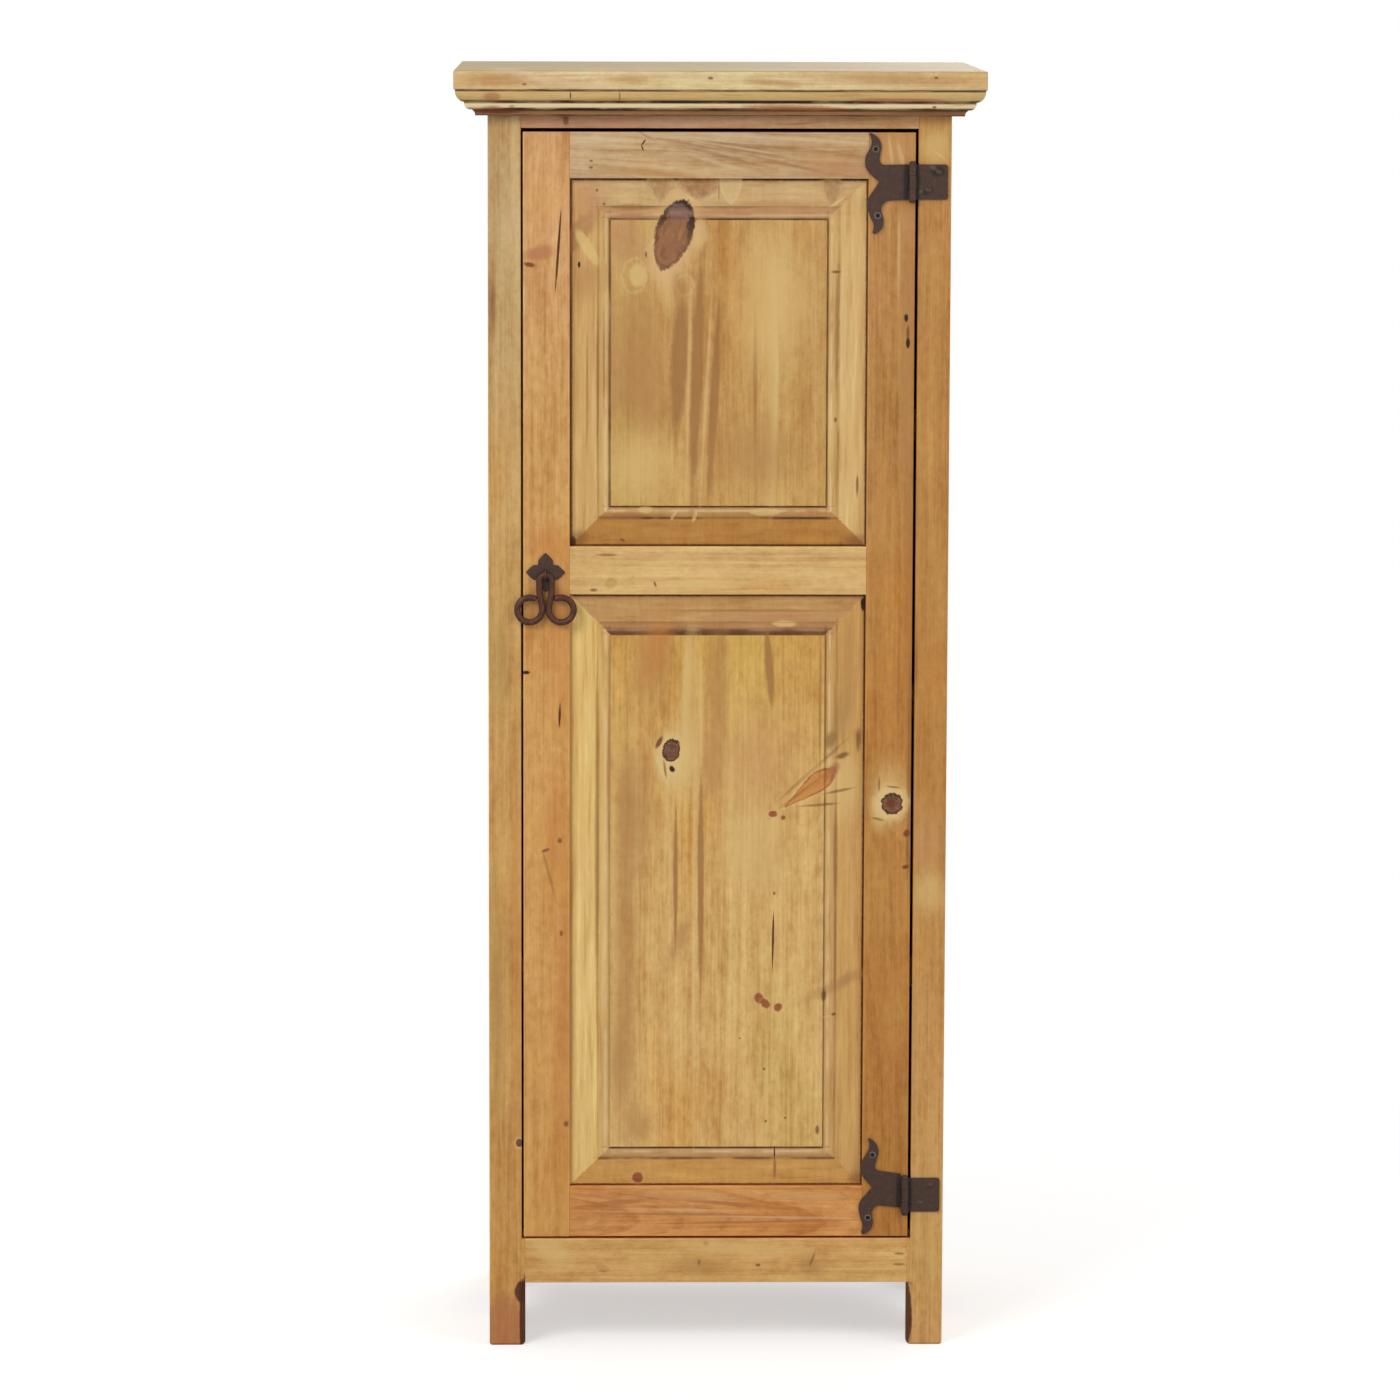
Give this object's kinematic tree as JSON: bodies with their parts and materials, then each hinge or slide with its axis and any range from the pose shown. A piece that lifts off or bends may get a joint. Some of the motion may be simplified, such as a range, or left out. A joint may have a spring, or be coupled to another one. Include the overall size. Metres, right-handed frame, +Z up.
{
  "type": "storage cabinet",
  "caption": "Tall narrow storage cabinet of solid pine: one inset door with raised panels, surface hinges, a swinging ring pull, a moulded cornice and shelves inside.",
  "frame": {"origin": "on the floor, under the centre of the top's outline", "axes": "+X to the right seen from the front, +Y to the back, +Z up; the door faces -Y"},
  "size_m": [0.613, 0.42, 1.505],
  "materials": {
    "pine_top": "satin",
    "pine_case": "satin",
    "pine_door": "satin",
    "pine_panel": "satin",
    "pine_inside": "matte",
    "wrought_iron": "satin",
    "catch_plastic": "matte",
    "zinc_plate": "satin"
  },
  "bodies": {
    "carcass": {"back_board_1": "pine_inside", "back_board_2": "pine_inside", "back_board_3": "pine_inside", "back_board_4": "pine_inside", "back_board_5": "pine_inside", "back_rail_bottom": "pine_inside", "back_rail_top": "pine_inside", "catch_body": "catch_plastic", "catch_screws": "zinc_plate", "cornice_front": "pine_top", "cornice_left": "pine_top", "cornice_right": "pine_top", "face_rail_bottom": "pine_case", "face_rail_top": "pine_case", "face_stile_left": "pine_case", "face_stile_right": "pine_case", "floor_board": "pine_inside", "floor_cleat_left": "pine_inside", "floor_cleat_right": "pine_inside", "hinge_frame_nails": "wrought_iron", "hinge_lower_frame_leaf": "wrought_iron", "hinge_lower_pin": "wrought_iron", "hinge_upper_frame_leaf": "wrought_iron", "hinge_upper_pin": "wrought_iron", "shelf_cleat_lower_left": "pine_inside", "shelf_cleat_lower_right": "pine_inside", "shelf_cleat_middle_left": "pine_inside", "shelf_cleat_middle_right": "pine_inside", "shelf_cleat_upper_left": "pine_inside", "shelf_cleat_upper_right": "pine_inside", "shelf_lower": "pine_inside", "shelf_middle": "pine_inside", "shelf_upper": "pine_inside", "side_left_front_plank": "pine_case", "side_left_middle_plank": "pine_case", "side_left_rear_plank": "pine_case", "side_right_front_plank": "pine_case", "side_right_middle_plank": "pine_case", "side_right_rear_plank": "pine_case", "top_board_front": "pine_top", "top_board_middle": "pine_top", "top_board_rear": "pine_top"},
    "door": {"catch_strike": "zinc_plate", "catch_strike_screw": "zinc_plate", "door_panel_lower": "pine_panel", "door_panel_upper": "pine_panel", "door_rail_bottom": "pine_door", "door_rail_middle": "pine_door", "door_rail_top": "pine_door", "door_stile_left": "pine_door", "door_stile_right": "pine_door", "hinge_door_screws": "wrought_iron", "hinge_lower_door_leaf": "wrought_iron", "hinge_upper_door_leaf": "wrought_iron", "pull_plate": "wrought_iron", "pull_staple": "wrought_iron"},
    "pull": {"pull_drop": "wrought_iron"}
  },
  "joints": [
    {"name": "door_hinge", "type": "hinge", "parent": "carcass", "child": "door", "pos_m": [0.2228, -0.177, 0.7825], "axis": [0, 0, 1], "range_deg": [0, 175]},
    {"name": "pull_swing", "type": "hinge", "parent": "door", "child": "pull", "pos_m": [-0.2014, -0.1788, 0.92], "axis": [-1, 0, 0], "range_deg": [0, 170]}
  ]
}
